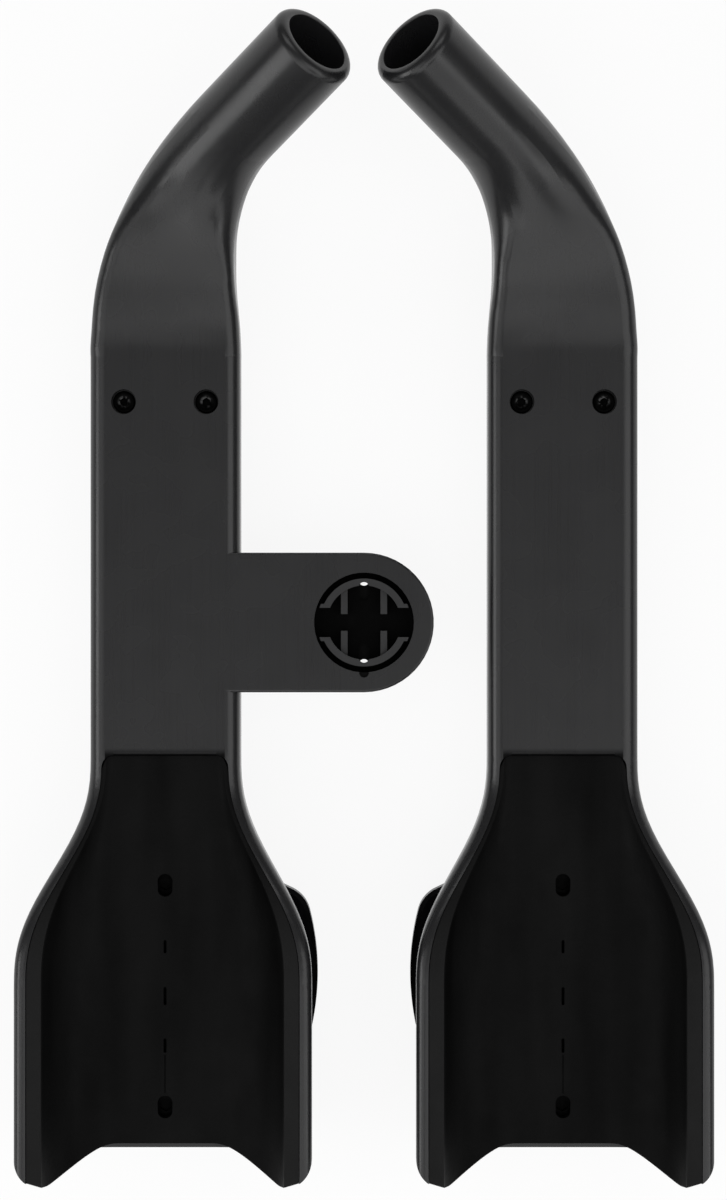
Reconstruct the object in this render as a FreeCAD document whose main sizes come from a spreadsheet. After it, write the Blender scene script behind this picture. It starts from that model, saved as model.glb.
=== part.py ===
import FreeCAD, Part
import math
import os
import Sketcher
from FreeCAD import Placement, Rotation, Vector

# Pair of time-trial extension arms, in millimetres.
# +X is the rider's right, +Y is forward and +Z is up. The origin is the centre of the four riser
# holes, on the underside of the two riser feet. The left side is modelled and the right side mirrors it.
SIZES = (
    ("arm_spacing", 132.8, "between the centre lines of the two beams"),
    ("beam_width", 50.1, "beam, across"),
    ("beam_depth", 22.0, "beam, top to underside"),
    ("beam_edge_radius", 5.0, "long edges of the beam"),
    ("beam_wall", 3.0, "moulded wall round the beam's hollow"),
    ("hollow_rear", 92.0, "where the beam's hollow ends, ahead of the cradle"),
    ("grip_diameter", 30.6, "grip tube, outside"),
    ("grip_bore", 22.7, "grip tube, inside"),
    ("grip_length", 43.5, "straight length of the grip tube"),
    ("grip_edge_radius", 3.0, "outer edge of the tube's end"),
    ("bore_edge_radius", 0.3, "inner edge of the tube's end"),
    ("bore_ledge", 0.6, "step at the bottom of the bore"),
    ("bend_radius", 75.0, "centre line of the bend"),
    ("bend_heading_angle", 47.2, "turn of the grip towards the other arm, degrees in plan"),
    ("bend_rise_angle", 32.4, "slope of the grip, degrees"),
    ("bend_start", 227.9, "where the bend begins"),
    ("bend_lead", 14.5, "length before the bend over which the section begins to change"),
    ("bend_scoop", 1.5, "extra rise of the top as the bend begins"),
    ("bend_scoop_share", 0.25, "share of the bend over which that rise is reached"),
    ("bend_flat_share", 0.4, "share of the bend over which the top stays flat"),
    ("bend_round_share", 0.85, "share of the bend at which the section is round"),
    ("crown_angle", 30.0, "half angle of the crowned top and underside at the grip, degrees"),
    ("cheek_angle", 25.0, "half angle of the crowned sides at the grip, degrees"),
    ("cradle_front", 80.4, "front of the pad's recess"),
    ("flare_length", 76.6, "length over which the beam widens to the cradle"),
    ("cradle_width", 98.4, "cradle, across its rims"),
    ("rim_rise", 18.0, "cradle's rim above the beam's top"),
    ("rim_width", 3.9, "rim, across"),
    ("rim_radius", 3.2, "outer edge of the rim"),
    ("hull_radius", 32.0, "cradle's rounded underside"),
    ("floor_width", 33.0, "flat floor of the cradle and of the pad"),
    ("floor_drop", 8.3, "cradle's floor below the beam's top"),
    ("step_radius", 1.0, "rear edge of the beam's top, at the pad"),
    ("recess_corner_radius", 4.0, "front corners of the pad's recess"),
    ("rear_edge", 51.2, "rear edge of the floor, behind the origin"),
    ("wing_reach", 61.9, "rear edge of the side walls, behind the origin"),
    ("wing_bulge", 2.3, "bow of the slanted rear edge"),
    ("wing_shoulder", 6.0, "straight rear edge below the rim"),
    ("wing_corner_radius", 9.5, "rear corners of the rims and of the pad, in plan"),
    ("pad_thickness", 5.5, "pad over the floor"),
    ("pad_wall", 4.8, "pad up the walls at its rear"),
    ("pad_front_lip", 2.6, "pad's raised edge at its front"),
    ("pad_gap", 0.2, "room between the pad and the recess"),
    ("pad_below_rim", 0.8, "pad's edge below the rim"),
    ("pad_opening_length", 7.6, "oblong opening over each cup bolt"),
    ("pad_opening_width", 5.0, "oblong opening over each cup bolt"),
    ("pad_slit_spacing", 16.5, "between the slits on the pad's centre line"),
    ("pad_slit_length", 5.0, "slit"),
    ("pad_slit_width", 1.2, "slit"),
    ("strip_thickness", 1.0, "hook strip under the pad"),
    ("strip_width", 11.0, "hook strip"),
    ("strip_length", 56.0, "hook strip"),
    ("strip_spacing", 18.0, "between the middles of the two hook strips"),
    ("tab_centre", 124.7, "middle of the computer socket, ahead of the origin"),
    ("tab_width", 46.6, "computer tab"),
    ("tab_thickness", 11.0, "computer tab"),
    ("tab_edge_radius", 0.8, "upper and lower edges of the tab"),
    ("socket_diameter", 33.3, "pocket in the tab"),
    ("socket_depth", 7.5, "pocket in the tab"),
    ("socket_gap", 0.1, "room round the insert"),
    ("insert_base", 2.5, "insert's floor"),
    ("lip_outer_diameter", 29.3, "quarter-turn lips, outside"),
    ("lip_inner_diameter", 24.7, "quarter-turn lips, inside"),
    ("lip_hook_diameter", 31.3, "hooked ends of the lips, outside"),
    ("lip_hook_width", 1.3, "hooked end, from the lip's end"),
    ("lip_wall", 1.1, "upright wall that carries each lip"),
    ("lip_thickness", 1.6, "lip"),
    ("lip_entry_width", 9.8, "gap between the two lips, where the lugs enter"),
    ("rib_spacing", 13.2, "between the middles of the spring ribs"),
    ("rib_width", 2.2, "spring rib"),
    ("rib_inner_end", 2.8, "inner end of each rib from the middle line"),
    ("rib_height", 2.4, "spring rib above the insert's floor"),
    ("tether_width", 3.4, "tether slot in the insert and tether hole in the tab"),
    ("tether_outer_end", 13.5, "outer end of the tether slot from the socket's middle"),
    ("tether_inner_end", 7.3, "inner end of the tether slot from the socket's middle"),
    ("tether_crescent", 1.2, "how far the hole in the tab shows past the slot's outer end"),
    ("notch_width", 3.2, "index notch behind the pocket"),
    ("notch_depth", 1.2, "index notch, below the tab's top"),
    ("notch_reach", 1.7, "index notch past the pocket's edge"),
    ("insert_screw_diameter", 3.0, "screw that holds the insert"),
    ("insert_screw_head", 5.6, "its head, across"),
    ("insert_screw_head_height", 1.6, "its head"),
    ("insert_screw_offset", 9.5, "insert screw from the socket's middle"),
    ("insert_screw_cover", 0.6, "insert's floor over the end of each screw"),
    ("screw_position", 198.3, "boss screws, ahead of the origin"),
    ("screw_spacing", 27.5, "between the two boss screws"),
    ("screw_diameter", 4.0, "boss screw's shank"),
    ("screw_length", 9.0, "boss screw below its head"),
    ("screw_head_diameter", 7.4, "boss screw's head"),
    ("screw_head_height", 2.8, "boss screw's head"),
    ("screw_key", 2.5, "boss screw's hexagon socket, across flats"),
    ("screw_recess_diameter", 8.3, "recess round the head"),
    ("screw_recess_depth", 5.0, "recess round the head"),
    ("boss_diameter", 12.5, "pillar in the hollow round each screw"),
    ("boss_insert_diameter", 6.4, "threaded insert, outside"),
    ("boss_insert_length", 8.0, "threaded insert"),
    ("key_depth_share", 0.7, "depth of a hexagon socket as a share of the head's height"),
    ("thread_gap", 0.06, "room round a screw in its thread or an insert in its hole"),
    ("port_position", 106.0, "cable port, ahead of the origin"),
    ("port_length", 16.0, "cable port"),
    ("port_width", 8.0, "cable port"),
    ("grommet_flange", 1.6, "grommet's flange past the port's edge"),
    ("grommet_flange_thickness", 1.2, "grommet's two flanges"),
    ("grommet_wall", 1.5, "grommet's wall round the cables"),
    ("grommet_gap", 0.1, "room between the grommet's neck and the port"),
    ("cup_bolt_spacing", 74.0, "between the two cup bolts of one cradle"),
    ("cup_bolt_diameter", 6.0, "cup bolt's shank"),
    ("cup_bolt_head_diameter", 10.0, "cup bolt's head"),
    ("cup_bolt_head_height", 3.6, "cup bolt's head"),
    ("cup_bolt_key", 4.0, "cup bolt's hexagon socket, across flats"),
    ("cup_bolt_engagement", 10.0, "cup bolt's thread in the foot"),
    ("cup_bolt_recess_gap", 0.4, "room over and round the bolt's head and washer"),
    ("bolt_hole_gap", 0.25, "room round the cup bolt in the cradle"),
    ("washer_diameter", 11.6, "washer, outside"),
    ("washer_thickness", 1.2, "washer"),
    ("foot_thickness", 12.0, "riser foot"),
    ("foot_spine", 24.0, "foot under the cradle's middle, across"),
    ("foot_length", 97.0, "foot along the cradle"),
    ("foot_reach", 50.7, "foot's inner side from the cradle's middle"),
    ("foot_side_radius", 85.0, "bow of the foot's inner side"),
    ("foot_side_middle", 6.0, "widest point of the foot, ahead of the origin"),
    ("foot_lobe_front", 32.3, "front corner of the foot's lobe"),
    ("foot_lobe_rear", 26.0, "rear corner of the foot's lobe, behind the origin"),
    ("foot_end_radius", 10.0, "corners at the foot's ends"),
    ("foot_corner_radius", 11.0, "corners of the foot's lobe"),
    ("foot_chamfer", 1.5, "upper and lower edges of the foot"),
    ("riser_offset", 33.0, "riser holes from the cradle's middle"),
    ("riser_hole_spacing", 34.0, "between the two riser holes of one foot"),
    ("riser_hole_diameter", 6.4, "riser hole"),
    ("riser_hole_depth", 9.5, "riser hole"),
)
STATIONS = 12

doc = FreeCAD.newDocument("aerobar")
sheet = doc.addObject("Spreadsheet::Sheet", "sizes")
for row, (alias, number, note) in enumerate(SIZES, start=1):
    sheet.set(f"A{row}", note)
    sheet.set(f"B{row}", str(number))
    sheet.setAlias(f"B{row}", alias)
doc.recompute()


def size(alias):
    """A driving dimension as a number."""
    return float(sheet.get(alias))


def worked_out(expression):
    """The number that an expression on the sheet gives."""
    return float(sheet.evalExpression(expression))


# Levels and places that several pieces share.
ARM_X = -size("arm_spacing") / 2
UNDERSIDE = size("foot_thickness")
TOP = UNDERSIDE + size("beam_depth")
RIM = TOP + size("rim_rise")
FLOOR = TOP - size("floor_drop")
PAD_BASE = FLOOR + size("strip_thickness")
PAD_TOP = PAD_BASE + size("pad_thickness")
SOCKET_FLOOR = TOP - size("socket_depth")
TAB_UNDERSIDE = TOP - size("tab_thickness")
CUP_SEAT = FLOOR - size("cup_bolt_head_height") - size("washer_thickness") - size("cup_bolt_recess_gap")
CUP_BOLTS = [Vector(ARM_X, side * size("cup_bolt_spacing") / 2, 0) for side in (-1, 1)]
BOSSES = [Vector(ARM_X + side * size("screw_spacing") / 2, size("screw_position"), 0) for side in (-1, 1)]
SOCKET = Vector(0, size("tab_centre"), 0)
INSERT_SCREWS = [SOCKET + Vector(side * size("insert_screw_offset"), 0, 0) for side in (-1, 1)]
TETHER_SLOT_MIDDLE = (size("tether_outer_end") + size("tether_inner_end")) / 2
TETHER_SLOTS = [SOCKET + Vector(0, side * TETHER_SLOT_MIDDLE, 0) for side in (-1, 1)]
TETHER_HOLE_OFFSET = size("tether_outer_end") - size("tether_crescent") + size("tether_width") / 2
TETHER_HOLES = [SOCKET + Vector(0, side * TETHER_HOLE_OFFSET, 0) for side in (-1, 1)]
# How far a cutter reaches past the face that it opens, and what counts as no length at all.
MOUTH_EXTRA = 5.0
NEAR = 0.01


def mix(first, last, share):
    return first + (last - first) * share


def ease(share):
    """Goes from 0 to 1 with level ends."""
    return share * share * (3 - 2 * share)


def ease_flat(share):
    """Goes from 0 to 1 with ends that are level and straight."""
    return share ** 3 * (share * (6 * share - 15) + 10)


def curve(points):
    """A line through two points, or an arc through three."""
    if len(points) == 2:
        return Part.LineSegment(*points).toShape()
    return Part.Arc(*points).toShape()


def closed_wire(runs, place):
    """Wire from runs of (across, up) points, each set in space by place."""
    return Part.Wire([curve([place(*point) for point in run]) for run in runs])


def cylinder(radius, low, high, centre):
    return Part.makeCylinder(radius, high - low, Vector(centre.x, centre.y, low))


def oval_runs(width, height, corner, crown, cheek):
    """Eight tangent runs round a section: crowned top, sides and underside with rounded corners.

    crown and cheek are the half angles of the top's and the sides' arcs. At zero they are straight.
    """
    if crown == 0:
        top_end = (width / 2 - corner, height / 2)
        side_end = (width / 2, height / 2 - corner)
        centre = (width / 2 - corner, height / 2 - corner)
    else:
        # The two arcs meet the corner's arc with one tangent, which gives two equations for their radii.
        a11, a12 = math.sin(crown), 1 - math.cos(cheek)
        a21, a22 = math.cos(crown) - 1, -math.sin(cheek)
        b1 = width / 2 + corner * (math.sin(crown) - math.cos(cheek))
        b2 = -height / 2 + corner * (math.cos(crown) - math.sin(cheek))
        determinant = a11 * a22 - a12 * a21
        crown_radius = (b1 * a22 - a12 * b2) / determinant
        cheek_radius = (a11 * b2 - a21 * b1) / determinant
        top_end = (crown_radius * math.sin(crown), height / 2 - crown_radius * (1 - math.cos(crown)))
        side_end = (width / 2 - cheek_radius * (1 - math.cos(cheek)), cheek_radius * math.sin(cheek))
        centre = (top_end[0] - corner * math.sin(crown), top_end[1] - corner * math.cos(crown))
    middle = (math.pi / 2 - crown + cheek) / 2
    bulge = (centre[0] + corner * math.cos(middle), centre[1] + corner * math.sin(middle))

    def at(point, across, up):
        return (point[0] * across, point[1] * up)

    top, side = (0, height / 2), (width / 2, 0)
    runs = [
        [at(top_end, -1, -1), at(top, 1, -1), at(top_end, 1, -1)],
        [at(top_end, 1, -1), at(bulge, 1, -1), at(side_end, 1, -1)],
        [at(side_end, 1, -1), at(side, 1, 1), at(side_end, 1, 1)],
        [at(side_end, 1, 1), at(bulge, 1, 1), at(top_end, 1, 1)],
        [at(top_end, 1, 1), at(top, 1, 1), at(top_end, -1, 1)],
        [at(top_end, -1, 1), at(bulge, -1, 1), at(side_end, -1, 1)],
        [at(side_end, -1, 1), at(side, -1, 1), at(side_end, -1, -1)],
        [at(side_end, -1, -1), at(bulge, -1, -1), at(top_end, -1, -1)],
    ]
    if crown == 0:
        for straight in runs[::2]:
            del straight[1]
    return runs


def corner_arc(centre, radius, start):
    """A quarter turn from the start angle, as three points."""
    turns = [math.radians(start + step) for step in (0, 45, 90)]
    return [(centre[0] + radius * math.cos(turn), centre[1] + radius * math.sin(turn)) for turn in turns]


def hull_runs(half, low, high, low_radius, high_radius):
    """Rounded rectangle with large lower corners and small upper ones."""
    arcs = [
        corner_arc((half - low_radius, low + low_radius), low_radius, 270),
        corner_arc((half - high_radius, high - high_radius), high_radius, 0),
        corner_arc((high_radius - half, high - high_radius), high_radius, 90),
        corner_arc((low_radius - half, low + low_radius), low_radius, 180),
    ]
    runs = []
    for before, arc in zip([arcs[-1]] + arcs[:-1], arcs):
        runs.append([before[-1], arc[0]])
        runs.append(arc)
    return runs


def trough_runs(half, low, high, radius):
    """A channel open to the top: flat floor, rounded lower corners, upright sides."""
    right = corner_arc((half - radius, low + radius), radius, 270)
    left = corner_arc((radius - half, low + radius), radius, 180)
    upper_right, upper_left = (half, high), (-half, high)
    return [[left[-1], right[0]], right, [right[-1], upper_right],
            [upper_right, upper_left], [upper_left, left[0]], left]


# The spine of the left arm: along the beam, round one arc that rises and turns in, then straight.
HEADING = math.radians(size("bend_heading_angle"))
RISE = math.radians(size("bend_rise_angle"))
GRIP_AXIS = Vector(math.cos(RISE) * math.sin(HEADING), math.cos(RISE) * math.cos(HEADING), math.sin(RISE))
BEND_ANGLE = math.acos(GRIP_AXIS.y)
BEND_LENGTH = size("bend_radius") * BEND_ANGLE
FORWARD = Vector(0, 1, 0)
TURN_IN = Vector(GRIP_AXIS.x, 0, GRIP_AXIS.z).normalize()
SPINE_START = Vector(ARM_X, size("bend_start"), TOP - size("beam_depth") / 2)


def spine(length):
    """Centre, across and up directions of the section at a length along the spine from the bend's start."""
    radius = size("bend_radius")
    angle = min(max(length / radius, 0), BEND_ANGLE)
    ahead = FORWARD * math.cos(angle) + TURN_IN * math.sin(angle)
    inward = TURN_IN * math.cos(angle) - FORWARD * math.sin(angle)
    centre = SPINE_START + FORWARD * (radius * math.sin(angle)) + TURN_IN * (radius * (1 - math.cos(angle)))
    centre = centre + ahead * (length - radius * angle)
    normal = FORWARD.cross(TURN_IN)
    across = inward * TURN_IN.x + normal * TURN_IN.z
    upward = inward * TURN_IN.z - normal * TURN_IN.x
    return centre, across, upward


def section_at(length, share, beam, grip):
    """Section at a share of the bend, from the beam's to the grip's circle.

    It narrows over the whole bend. Its top rises at once, stays flat at first and is round before the end.
    """
    scoop = size("bend_scoop") * ease(min(share / size("bend_scoop_share"), 1)) * (1 - ease(share))
    flat, full = size("bend_flat_share"), size("bend_round_share")
    rounding = ease(min(max((share - flat) / (full - flat), 0), 1))
    width, height = [mix(start, grip, ease(share)) for start in beam[:2]]
    corner = mix(beam[2], grip / 2, rounding)
    crown = math.radians(size("crown_angle")) * rounding
    cheek = math.radians(size("cheek_angle")) * rounding
    centre, across, upward = spine(length)
    centre = centre + upward * (scoop / 2)
    return closed_wire(oval_runs(width, height + scoop, corner, crown, cheek),
                       lambda right, up: centre + across * right + upward * up)


def bend_loft(beam, grip, tail):
    """Loft from the beam's section to a circle, with a straight tail past the bend's end."""
    lead = size("bend_lead")
    wires = []
    for step in range(STATIONS + 1):
        share = step / STATIONS
        wires.append(section_at(mix(-lead, BEND_LENGTH, share), share, beam, grip))
    if tail:
        wires.append(section_at(BEND_LENGTH + tail, 1, beam, grip))
    return Part.makeLoft(wires, True)


def revolved(points, base, axis):
    """Solid of revolution from runs of (radius, height) points about a slanted axis through base."""
    across = axis.cross(Vector(0, 0, 1)).normalize()
    wire = closed_wire(points, lambda radius, height: base + across * radius + axis * height)
    return Part.Face(wire).revolve(base, axis, 360)


GRIP_BASE = spine(BEND_LENGTH)[0]
GRIP_TIP = spine(BEND_LENGTH + size("grip_length"))[0]


def grip_tube():
    """Solid grip with a rounded outer edge at its end."""
    radius, length, edge = size("grip_diameter") / 2, size("grip_length"), size("grip_edge_radius")
    rounding = corner_arc((radius - edge, length - edge), edge, 0)
    return revolved([[(0, 0), (radius, 0)], [(radius, 0), rounding[0]], rounding,
                     [rounding[-1], (0, length)], [(0, length), (0, 0)]], GRIP_BASE, GRIP_AXIS)


def grip_bore():
    """Cutter for the bore, flared at the mouth by the rounded inner edge."""
    radius, length, edge = size("grip_bore") / 2, size("grip_length"), size("bore_edge_radius")
    flare = corner_arc((radius + edge, length - edge), edge, 90)[::-1]
    mouth = length + MOUTH_EXTRA
    return revolved([[(0, 0), (radius, 0)], [(radius, 0), flare[0]], flare,
                     [flare[-1], (radius + edge, mouth)], [(radius + edge, mouth), (0, mouth)],
                     [(0, mouth), (0, 0)]], GRIP_BASE, GRIP_AXIS)


def beam_section(inset):
    """Width, depth and corner radius of the beam, or of its hollow."""
    width, depth = size("beam_width") - 2 * inset, size("beam_depth") - 2 * inset
    return width, depth, size("beam_edge_radius") - inset


def beam_prism(inset, rear):
    """Straight part of the beam, or of its hollow, from rear to the start of the bend's loft."""
    front = size("bend_start") - size("bend_lead")
    wire = section_at(front - size("bend_start"), 0, beam_section(inset), size("grip_diameter"))
    return Part.Face(wire).extrude(Vector(0, rear - front, 0))


def hollow():
    """Inside of the beam and bend, with a solid boss left round each boss screw."""
    wall = size("beam_wall")
    inner = bend_loft(beam_section(wall), size("grip_bore") - 2 * size("bore_ledge"), MOUTH_EXTRA)
    space = inner.fuse(beam_prism(wall, size("hollow_rear")))
    bosses = [cylinder(size("boss_diameter") / 2, UNDERSIDE, TOP, place) for place in BOSSES]
    return space.cut(bosses)


# The cradle: share 0 is the beam's own section, share 1 the full flare. Stations run rearwards.
FLARE_END = size("cradle_front") - size("flare_length")
FLARE = [(mix(size("cradle_front"), FLARE_END, step / STATIONS), ease_flat(step / STATIONS))
         for step in range(STATIONS + 1)]
REAR_EXTRA = size("wing_reach") + MOUTH_EXTRA


def outer_half(share):
    return mix(size("beam_width"), size("cradle_width"), share) / 2


def recess_half(share):
    return outer_half(share) - size("rim_width")


def rim_height(share):
    return mix(TOP, RIM, share)


def cradle_loft(runs_at, stations):
    """Loft through the flare's stations and on to the rear with the last section."""
    def wire_at(place, share):
        return closed_wire(runs_at(share), lambda right, up: Vector(ARM_X + right, place, up))
    loft = Part.makeLoft([wire_at(place, share) for place, share in stations], True)
    rear = Part.Face(wire_at(FLARE_END, 1)).extrude(Vector(0, -REAR_EXTRA - FLARE_END, 0))
    return loft.fuse(rear)


def hull():
    """Outside of the cradle, closed across its rims."""
    edge = size("beam_edge_radius")
    return cradle_loft(lambda share: hull_runs(outer_half(share), UNDERSIDE, rim_height(share),
                                               mix(edge, size("hull_radius"), share),
                                               mix(edge, size("rim_radius"), share)), FLARE)


def channel(inset_at, low):
    """Space over a U-shaped surface that lies inset from the recess's walls, open to the top."""
    half_floor = size("floor_width") / 2
    high = RIM + size("cradle_width") / 2

    def runs_at(share):
        half = recess_half(share) - inset_at(share)
        return trough_runs(half, low, high, half - half_floor)
    return cradle_loft(runs_at, FLARE)


def rounded_front(half, front, low):
    """What a recess with rounded front corners leaves standing in its two square corners."""
    radius = size("recess_corner_radius")
    pieces = []
    for side in (-1, 1):
        corner = Vector(ARM_X + side * half, front, low)
        across, back = Vector(-side * radius, 0, 0), Vector(0, -radius, 0)
        pieces.append(corner_piece(corner, across, back, Vector(0, 0, RIM)))
    return pieces


def corner_piece(corner, first, second, along):
    """Prism between a square corner and the arc that rounds it, which also overhangs both sides."""
    past_first = Vector(second).normalize() * -MOUTH_EXTRA
    past_second = Vector(first).normalize() * -MOUTH_EXTRA
    arc_start, arc_end = corner + first, corner + second
    middle = corner + (first + second) * (1 - math.sqrt(0.5))
    outer_corner = corner + past_first + past_second
    outline = [arc_end, arc_end + past_second, outer_corner, arc_start + past_first, arc_start]
    edges = [curve([arc_start, middle, arc_end])]
    edges += [curve(pair) for pair in zip(outline, outline[1:])]
    return Part.Face(Part.Wire(edges)).extrude(along)


def rear_trim(inset):
    """What lies behind the cradle's rear edge, which slants back up the side walls."""
    floor_end = Vector(0, inset - size("rear_edge"), PAD_TOP)
    wall_end = Vector(0, inset - size("wing_reach"), RIM - size("wing_shoulder"))
    chord = wall_end - floor_end
    outwards = Vector(0, -chord.z, chord.y).normalize()
    middle = (floor_end + wall_end) * 0.5 + outwards * size("wing_bulge")
    low_front, high_front = Vector(0, floor_end.y, -MOUTH_EXTRA), Vector(0, wall_end.y, RIM + MOUTH_EXTRA)
    behind = Vector(0, -REAR_EXTRA - MOUTH_EXTRA, 0)
    low_rear, high_rear = Vector(0, behind.y, low_front.z), Vector(0, behind.y, high_front.z)
    runs = [[low_front, floor_end], [floor_end, middle, wall_end], [wall_end, high_front],
            [high_front, high_rear], [high_rear, low_rear], [low_rear, low_front]]
    edges = [curve(run) for run in runs]
    profile = Part.Face(Part.Wire(edges))
    profile.translate(Vector(ARM_X - size("cradle_width"), 0, 0))
    return profile.extrude(Vector(2 * size("cradle_width"), 0, 0))


def wing_corners():
    """What rounding takes off the two rear corners, in plan, from the rims and the pad alike."""
    radius = size("wing_corner_radius")
    pieces = []
    for side in (-1, 1):
        corner = Vector(ARM_X + side * outer_half(1), -size("wing_reach"), -MOUTH_EXTRA)
        across, ahead = Vector(-side * radius, 0, 0), Vector(0, radius, 0)
        pieces.append(corner_piece(corner, across, ahead, Vector(0, 0, RIM + 2 * MOUTH_EXTRA)))
    return pieces


def slot(centre, length, width, low, high):
    """Upright prism with round ends, its length along the arm."""
    reach, radius = (length - width) / 2, width / 2
    front, rear = Vector(centre.x, centre.y + reach, low), Vector(centre.x, centre.y - reach, low)
    side, tip = Vector(radius, 0, 0), Vector(0, radius, 0)
    edges = [curve([front - side, front + tip, front + side]), curve([front + side, rear + side]),
             curve([rear + side, rear - tip, rear - side]), curve([rear - side, front - side])]
    return Part.Face(Part.Wire(edges)).extrude(Vector(0, 0, high - low))


def moulding():
    """Arm without its tab: outside, recess for the pad and rear edge, still solid."""
    skin = beam_prism(0, size("cradle_front")).fuse([
        bend_loft(beam_section(0), size("grip_diameter"), 0), grip_tube(), hull()])
    # The step's rounding stops where the recess's rounded front corners begin.
    step, radius = recess_half(0), size("step_radius")
    straight = step - size("recess_corner_radius")
    corner = Vector(ARM_X - straight, size("cradle_front"), TOP)
    rounding = corner_piece(corner, Vector(0, radius, 0), Vector(0, 0, -radius), Vector(2 * straight, 0, 0))
    recess = channel(lambda share: 0, FLOOR).cut(rounded_front(step, size("cradle_front"), FLOOR))
    return skin.cut([recess, rounding, rear_trim(0)] + wing_corners())


def drillings():
    """Cutters for the screws, bolts and cable port that both arms have."""
    gap = size("thread_gap")
    cutters = []
    seat = TOP - size("screw_recess_depth")
    insert_low, shank_low = seat - size("boss_insert_length"), seat - size("screw_length") - gap
    for place in BOSSES:
        cutters.append(cylinder(size("screw_recess_diameter") / 2, seat, TOP + MOUTH_EXTRA, place))
        cutters.append(cylinder(size("boss_insert_diameter") / 2 + gap, insert_low, seat, place))
        cutters.append(cylinder(size("screw_diameter") / 2 + gap, shank_low, seat, place))
    for place in CUP_BOLTS:
        recess = size("washer_diameter") / 2 + size("cup_bolt_recess_gap")
        cutters.append(cylinder(recess, CUP_SEAT, FLOOR + MOUTH_EXTRA, place))
        cutters.append(cylinder(size("cup_bolt_diameter") / 2 + size("bolt_hole_gap"), 0, CUP_SEAT, place))
    port, port_top = Vector(ARM_X, size("port_position"), 0), UNDERSIDE + 2 * size("beam_wall")
    cutters.append(slot(port, size("port_length"), size("port_width"), 0, port_top))
    return cutters


def computer_tab():
    """Flat tab that reaches in to the middle plane, flush with the beam's top, with a round end."""
    radius = size("tab_width") / 2
    root, end = Vector(ARM_X, SOCKET.y, TAB_UNDERSIDE), Vector(SOCKET.x, SOCKET.y, TAB_UNDERSIDE)
    rear, front, tip = Vector(0, -radius, 0), Vector(0, radius, 0), end + Vector(radius, 0, 0)
    runs = [[root + front, root + rear], [root + rear, end + rear], [end + rear, tip, end + front],
            [end + front, root + front]]
    outline = Part.Face(Part.Wire([curve(run) for run in runs]))
    tab = outline.extrude(Vector(0, 0, size("tab_thickness")))
    boxes = [(edge, edge.BoundBox) for edge in tab.Edges]
    level = [edge for edge, box in boxes if box.ZLength < NEAR and box.XMax > ARM_X + NEAR]
    return tab.makeFillet(size("tab_edge_radius"), level)


def socket_cutters():
    """Pocket for the insert with its index notch, tether holes and counterbored screw holes from below."""
    radius = size("socket_diameter") / 2
    cutters = [cylinder(radius, SOCKET_FLOOR, TOP + MOUTH_EXTRA, SOCKET)]
    notch_radius = size("notch_width") / 2
    notch = SOCKET - Vector(0, radius + size("notch_reach") - notch_radius, 0)
    cutters.append(cylinder(notch_radius, TOP - size("notch_depth"), TOP + MOUTH_EXTRA, notch))
    for place in TETHER_HOLES:
        cutters.append(cylinder(size("tether_width") / 2, TAB_UNDERSIDE - MOUTH_EXTRA, SOCKET_FLOOR, place))
    for place in INSERT_SCREWS:
        head = size("insert_screw_head") / 2 + size("bolt_hole_gap")
        shank = size("insert_screw_diameter") / 2 + size("bolt_hole_gap")
        head_seat = TAB_UNDERSIDE + size("insert_screw_head_height")
        cutters.append(cylinder(head, TAB_UNDERSIDE - MOUTH_EXTRA, head_seat, place))
        cutters.append(cylinder(shank, TAB_UNDERSIDE, SOCKET_FLOOR, place))
    return cutters


def armrest_pad():
    """Foam pad that lines the recess: thick over the floor and thinner up the walls."""
    gap = size("pad_gap")
    body = channel(lambda share: gap, PAD_BASE)
    lip, wall = size("pad_front_lip"), size("pad_wall")
    space = channel(lambda share: gap + mix(lip, wall, share), PAD_TOP)
    # The pad's edge follows the rim a little lower, from the front of the flare to the rear.
    low = size("pad_below_rim")
    edge_points = [Vector(0, place, rim_height(share) - low) for place, share in FLARE]
    edge = Part.BSplineCurve()
    edge.interpolate(edge_points)
    start, end = edge_points[0], edge_points[-1]
    rear = Vector(0, -REAR_EXTRA - MOUTH_EXTRA, end.z)
    high = RIM + size("cradle_width")
    high_front, high_rear = Vector(0, start.y, high), Vector(0, rear.y, high)
    lid = Part.Face(Part.Wire([edge.toShape(), curve([end, rear]), curve([rear, high_rear]),
                               curve([high_rear, high_front]), curve([high_front, start])]))
    lid.translate(Vector(ARM_X - size("cradle_width"), 0, 0))
    lid = lid.extrude(Vector(2 * size("cradle_width"), 0, 0))
    front = size("cradle_front") - gap
    sliver = Part.makeBox(2 * size("cradle_width"), MOUTH_EXTRA, 2 * high,
                          Vector(ARM_X - size("cradle_width"), front, 0))
    cutters = [space, lid, sliver, rear_trim(gap)]
    cutters += rounded_front(recess_half(0) - gap, front, 0)
    cutters += wing_corners()
    for place in CUP_BOLTS:
        cutters.append(slot(place, size("pad_opening_length"), size("pad_opening_width"), FLOOR, RIM))
    for step in (-1, 0, 1):
        place = Vector(ARM_X, step * size("pad_slit_spacing"), 0)
        cutters.append(slot(place, size("pad_slit_length"), size("pad_slit_width"), FLOOR, RIM))
    return body.cut(cutters)


def feature(name, shape):
    """A document object that holds one finished shape."""
    piece = doc.addObject("Part::Feature", name)
    piece.Shape = shape
    piece.Placement = Placement()
    return piece


def solid_of(shape):
    """The one solid of a boolean's result, with faces that continue each other joined."""
    return shape.removeSplitter().Solids[0]


plain = moulding()
openings = [hollow(), grip_bore()] + drillings()
feature("extension_arm_left", solid_of(plain.fuse(computer_tab()).cut(openings + socket_cutters())))
plain_arm = feature("plain_arm", solid_of(plain.cut(openings)))
feature("armrest_pad_left", solid_of(armrest_pad()))


def origin_plane(body, role):
    for plane in body.Origin.OriginFeatures:
        if plane.Role == role:
            return plane


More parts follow.
